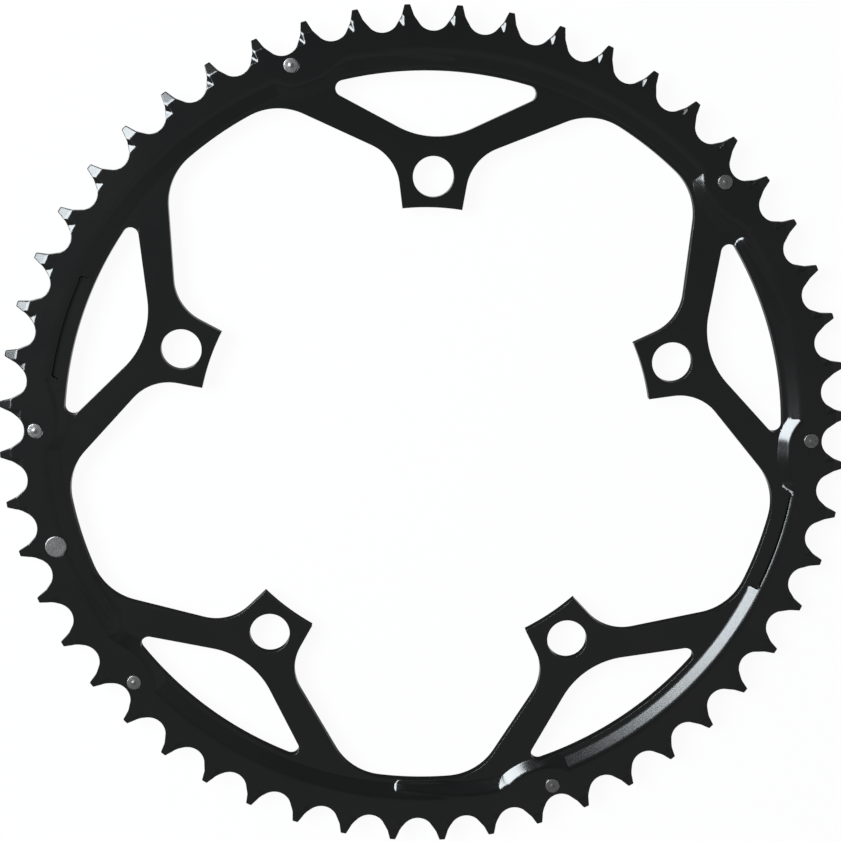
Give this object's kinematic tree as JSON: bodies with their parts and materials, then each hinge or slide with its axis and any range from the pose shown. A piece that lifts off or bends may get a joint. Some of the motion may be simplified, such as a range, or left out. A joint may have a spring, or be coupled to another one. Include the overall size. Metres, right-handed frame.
{
  "type": "bicycle chainring",
  "caption": "Toothed outer bicycle chainring with forked arms on a bolt circle, shift ramps on its inner face and pressed-in steel shift pins.",
  "frame": {"origin": "centre of the bolt circle, on the inner face of the arms where they meet the crank spider", "axes": "+Z is the ring's axis and points to the inner face with the pins, +Y runs through one bolt hole, and +X is to the right when the inner face is seen with +Y up"},
  "size_m": [0.214, 0.214, 0.008],
  "materials": {
    "black_anodised": "satin black anodised, machined",
    "pin_steel": "bare turned steel"
  },
  "bodies": {
    "root": {"chainring": "black_anodised", "shift_pin_1": "pin_steel", "shift_pin_2": "pin_steel", "shift_pin_3": "pin_steel", "shift_pin_4": "pin_steel", "shift_pin_5": "pin_steel", "shift_pin_6": "pin_steel", "chain_drop_pin": "pin_steel"}
  },
  "joints": []
}
